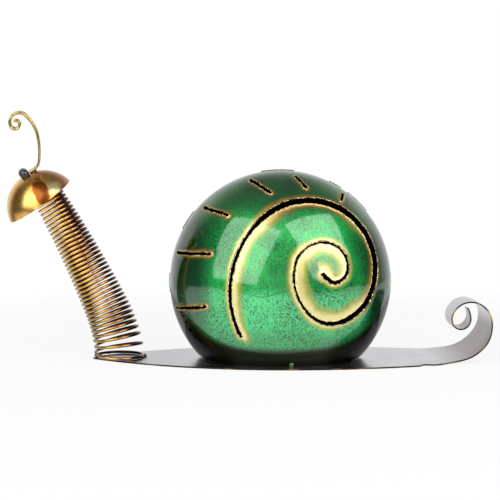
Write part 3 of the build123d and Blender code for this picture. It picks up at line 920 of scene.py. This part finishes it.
right_map = build_shell_map(RIGHT_SPIRAL_SIZE, RIGHT_SPIRAL_SHIFT, RIGHT_DASH_TURN)
left_shell = make_shell("shell_left_burred", -1, *build_shell_map())
right_shell = make_shell("shell_right_burred", 1, *right_map)
for shell, cad_half in ((left_shell, "shell_left_half"), (right_shell, "shell_right_half")):
    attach(shell, "foot")
    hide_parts(cad_half)


NECK_TRIES = 8
WIRE_SIDES = 12
MEET_HEIGHT = 58.0
STEPS_PER_TURN = 56


def neck_lean(along):
    """Lean in radians, and place in X and Z, of the neck's middle line."""
    x, z, lean, left = -NECK_BASE_X, PLATE_TOP + WIRE_RADIUS + RING_CLEARANCE, 0.0, along
    for turn, share in NECK_BENDS:
        length = share * NECK_LENGTH
        radius = length / math.radians(turn)
        part = min(max(left, 0.0), length)
        swing = lean + part / radius
        x -= radius * (math.cos(lean) - math.cos(swing))
        z += radius * (math.sin(swing) - math.sin(lean))
        lean = swing
        left -= part
    return lean, x, z


def neck_height(turn):
    """How far along the neck's middle line the wire is after some turns."""
    if turn <= 0:
        return 0.0
    eased = turn**2 / (turn + NECK_EASE_TURNS)
    opening = NECK_OPENING * (1 - math.exp(-eased / NECK_OPENING_TURNS))
    lift = NECK_LIFT * (1 - math.exp(-eased / NECK_LIFT_TURNS))
    return NECK_PITCH * eased + opening + lift


def neck_point(turn):
    """The wire's middle, its side from nose (-1) to tail (1), and the way inward."""
    along = neck_height(turn)
    lean, x, z = neck_lean(along)
    radius = NECK_BOTTOM_RADIUS + (NECK_TOP_RADIUS - NECK_BOTTOM_RADIUS) * along / NECK_LENGTH
    angle = math.radians(NECK_TOUCH_ANGLE - 360 * turn)
    out = radius * math.cos(angle)
    spot = Vector((x + out * math.cos(lean), radius * math.sin(angle), z + out * math.sin(lean)))
    inward = (Vector((x, 0, z)) - spot).normalized()
    return spot, math.cos(angle), inward


def neck_turns():
    """How many turns fill the neck's length."""
    turns = NECK_LENGTH / NECK_PITCH
    for _ in range(NECK_TRIES):
        turns -= (neck_height(turns) - NECK_LENGTH) / NECK_PITCH
    return turns


def tube(name, spots, radius, look):
    """A closed round wire along a row of points."""
    points, faces = [], []
    count = len(spots)
    up = Vector((0, 0, 1))
    for k, spot in enumerate(spots):
        way = (spots[min(k + 1, count - 1)] - spots[max(k - 1, 0)]).normalized()
        side = (up - way * up.dot(way)).normalized()
        other = way.cross(side)
        for s in range(WIRE_SIDES):
            turn = 2 * math.pi * s / WIRE_SIDES
            points.append(spot + (side * math.cos(turn) + other * math.sin(turn)) * radius)
    for k in range(count - 1):
        here, ahead = k * WIRE_SIDES, (k + 1) * WIRE_SIDES
        for s in range(WIRE_SIDES):
            t = (s + 1) % WIRE_SIDES
            faces.append((here + s, here + t, ahead + t, ahead + s))
    faces.append(tuple(range(WIRE_SIDES))[::-1])
    faces.append(tuple((count - 1) * WIRE_SIDES + s for s in range(WIRE_SIDES)))
    return new_piece(name, [tuple(p) for p in points], faces, look)


last_turn = neck_turns()
wire_steps = int((last_turn + FLAT_RING_SHARE) * STEPS_PER_TURN)
turns = np.linspace(-FLAT_RING_SHARE, last_turn, wire_steps)
wire = [neck_point(float(turn)) for turn in turns]
meet = next(k for k, turn in enumerate(turns) if neck_height(float(turn)) > MEET_HEIGHT)
_, meet_x, meet_z = neck_lean(MEET_HEIGHT)
neck_top = neck_lean(NECK_LENGTH)


def spring_part(name, first, last):
    """One length of the wire, with the numbers that its colours follow."""
    row = wire[first:last]
    piece = tube(name, [spot for spot, _, _ in row], WIRE_RADIUS, WIRE)
    give_number(piece, "across", np.repeat([side for _, side, _ in row], WIRE_SIDES))
    skin = np.array([tuple(point.co) for point in piece.data.vertices]) / MM
    middle = np.repeat([tuple(spot) for spot, _, _ in row], WIRE_SIDES, axis=0)
    inward = np.repeat([tuple(way) for _, _, way in row], WIRE_SIDES, axis=0)
    give_number(piece, "inward", ((skin - middle) * inward).sum(axis=1) / WIRE_RADIUS)
    return piece


lower = spring_part("neck_spring_lower", 0, meet + 1)
upper = spring_part("neck_spring_upper", meet, len(wire))
meet_x * MM
(meet_z - 8) * MM
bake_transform(lower)
meet_x * MM
(meet_z + 6) * MM
(neck_top[1] + 4.5) * MM
(neck_top[2] - 8) * MM
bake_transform(upper)
for piece in (lower, upper):
    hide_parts("neck_spring")


WHITE = (1.0, 1.0, 1.0, 1.0)
RAY_KINDS = {"camera": "Is Camera Ray", "glossy": "Is Glossy Ray", "clear": "Is Transmission Ray"}

# The room round the object: ranges over a direction of length 1, then brightnesses
BETWEEN_LAMPS, BELOW_LAMP_TOPS = (0.80, 0.97), (0.97, 0.85)
BACKDROP, BACKDROP_TOP = (0.18, 0.80), (0.95, 0.45)
CEILING, SIDE_LIGHT = (0.5, 0.9), (0.984, 0.996)
SIDE_LIGHT_LEFT, SIDE_LIGHT_BACK, SIDE_LIGHT_UP = 0.769, 0.559, 0.309
ROOM_LEVEL, BETWEEN_LEVEL, CEILING_LEVEL, SIDE_LIGHT_LEVEL = 0.10, 0.30, 0.14, 0.7

# The floor as the lacquer shows it, in metres: where its bright part ends on each side
FLOOR_COLOR, FLOOR_ROUGHNESS, FLOOR_SHINE = (0.90, 0.90, 0.90, 1.0), 0.9, 0.1
WAVER_SIZE, WAVER_REACH = 0.08, 0.012
FLOOR_FRONT, FRONT_LINE_END, FRONT_LINE_SHARE = (0.310, 0.318), (0.336, 0.328), 0.85
NICK_LEFT, NICK_BACK = (-0.26, -0.42), (0.0, 0.09)
FLOOR_LEFT, FLOOR_RIGHT, FLOOR_BACK = (-0.50, -0.60), (0.55, 0.75), (0.7, 1.0)
SHADOW_REACH, SHADOW_SHARE = (0.55, 0.25), 0.12


def seen_by(kind):
    """1 for camera rays, glossy rays or see-through rays, else 0."""
    return Field.put("ShaderNodeLightPath", out=RAY_KINDS[kind])


def room_level(x, y, z):
    """How bright the room is in a direction from the object."""
    flat = (x * x + y * y).math("SQRT").high(0.001)
    between_lamps = (y / flat * -1.0).ramp(*BETWEEN_LAMPS) * z.ramp(*BELOW_LAMP_TOPS)
    behind = (y / flat).ramp(*BACKDROP) * z.ramp(*BACKDROP_TOP)
    side_light = (y * SIDE_LIGHT_BACK + z * SIDE_LIGHT_UP - x * SIDE_LIGHT_LEFT).ramp(*SIDE_LIGHT)
    front = ROOM_LEVEL + between_lamps * BETWEEN_LEVEL
    front = front + z.ramp(*CEILING) * CEILING_LEVEL + side_light * SIDE_LIGHT_LEVEL
    return front + behind * (1.0 - front)


def floor_surface():
    """A pale floor, white to the eye, that keeps the object's shadow."""
    made = bpy.data.materials.new("pale_floor")
    made.use_nodes = True
    Field.tree = made.node_tree
    shader = made.node_tree.nodes["Principled BSDF"]
    shader.inputs["Base Color"].default_value = FLOOR_COLOR
    shader.inputs["Roughness"].default_value = FLOOR_ROUGHNESS
    shader.inputs["Specular IOR Level"].default_value = FLOOR_SHINE
    spot = Field.put("ShaderNodeNewGeometry", out="Position")
    x, y, z = (axis(spot, index) for index in range(3))
    ahead = -y + (grain(spot, WAVER_SIZE) - 0.5) * WAVER_REACH
    beyond = ahead.ramp(*FLOOR_FRONT)
    line = beyond * ahead.ramp(*FRONT_LINE_END)
    left = (x.ramp(*NICK_LEFT) * y.ramp(*NICK_BACK)).high(x.ramp(*FLOOR_LEFT))
    off = beyond.high(x.ramp(*FLOOR_RIGHT)).high(left).high(y.ramp(*FLOOR_BACK))
    far = (x * x + y * y + z * z).math("SQRT")
    room = room_level(x / far, y / far, z / far)
    bright = (1.0 - off * (1.0 - room)) * (1.0 - line * FRONT_LINE_SHARE)
    strength = seen_by("glossy").tint_number(1.0, bright)
    glow = Field.put("ShaderNodeEmission", {"Color": WHITE, "Strength": strength})
    share = (seen_by("camera") + seen_by("glossy") + seen_by("clear")).low(1.0)
    share = share * (1.0 - far.ramp(*SHADOW_REACH) * SHADOW_SHARE)
    plain = Field(shader.outputs["BSDF"])
    mixed = Field.put("ShaderNodeMixShader", {0: share, 1: plain, 2: glow})
    output = made.node_tree.nodes["Material Output"]
    made.node_tree.links.new(mixed.socket, output.inputs["Surface"])
    return made


def make_floor():
    """A floor that sweeps up behind the object; sizes in metres."""
    half, front, middle, back, radius, top = 4.0, -4.0, -1.0, 2.6, 0.9, 3.0
    sweep = np.linspace(0.1, math.pi / 2, 16)
    profile = [(front, 0.0), (middle, 0.0), (back - radius, 0.0)]
    profile += [(back - radius + radius * math.sin(a), radius - radius * math.cos(a))
                for a in sweep]
    profile.append((back, top))
    points = [(x, y, z) for y, z in profile for x in (-half, half)]
    faces = [(2 * k, 2 * k + 1, 2 * k + 3, 2 * k + 2) for k in range(len(profile) - 1)]
    mesh = bpy.data.meshes.new("floor")
    mesh.from_pydata(points, [], faces)
    mesh.materials.append(floor_surface())
    mesh.shade_smooth()
    floor = bpy.data.objects.new("floor", mesh)
    bpy.context.scene.collection.objects.link(floor)
    return floor


make_floor()

SCENE = bpy.context.scene
SCENE.view_settings.view_transform = "Standard"

# The camera that was fitted to the photograph
SENSOR_WIDTH, FOCAL_PIXELS, PICTURE_PIXELS = 36.0, 1299, 500
CAMERA_PLACE, CAMERA_PITCH, CAMERA_YAW = (-0.0304, -0.880, 0.1351), 3.972, 0.638


def seen_at(azimuth, elevation, distance):
    """A place seen from the shell: degrees from -Y to +X, degrees up, metres off."""
    a, e = math.radians(azimuth), math.radians(elevation)
    way = Vector((math.sin(a) * math.cos(e), -math.cos(a) * math.cos(e), math.sin(e)))
    return Vector((0, 0, SHELL_HEIGHT * MM)) + way * distance


def softbox(name, foot, head, width, radiance):
    """A leaning lamp panel from the middle of its foot to that of its head."""
    light = bpy.data.lights.new(name, "AREA")
    light.shape = "RECTANGLE"
    light.size, light.size_y = width, (head - foot).length
    light.energy = radiance * math.pi * light.size * light.size_y
    lamp = bpy.data.objects.new(name, light)
    bpy.context.scene.collection.objects.link(lamp)
    up = (head - foot).normalized()
    middle = (head + foot) / 2
    side = up.cross(middle).normalized()
    turned = Matrix((side, up, side.cross(up))).transposed()
    lamp.matrix_world = Matrix.Translation(middle) @ turned.to_4x4()
    return lamp


softbox("left_softbox", seen_at(-41, 0, 1.5), seen_at(-32, 54, 1.33), width=1.15, radiance=2.35)
softbox("right_softbox", seen_at(42, 3, 1.5), seen_at(41, 57, 1.065), width=0.86, radiance=2.6)

world = bpy.data.worlds.new("studio")
SCENE.world = world
world.use_nodes = True
Field.tree = world.node_tree
look_way = Field.put("ShaderNodeTexCoord", out="Generated")
room = room_level(*(axis(look_way, index) for index in range(3)))
seen = seen_by("camera").tint_number(room, 1.0)
background = world.node_tree.nodes["Background"]
background.inputs["Color"].default_value = WHITE
world.node_tree.links.new(seen.socket, background.inputs["Strength"])

camera_data = bpy.data.cameras.new("camera")
camera_data.sensor_width = SENSOR_WIDTH
camera_data.lens = SENSOR_WIDTH * FOCAL_PIXELS / PICTURE_PIXELS
camera = bpy.data.objects.new("camera", camera_data)
SCENE.collection.objects.link(camera)
camera.location = CAMERA_PLACE
camera.rotation_euler = Euler((math.radians(90 - CAMERA_PITCH), 0, math.radians(-CAMERA_YAW)))
SCENE.camera = camera
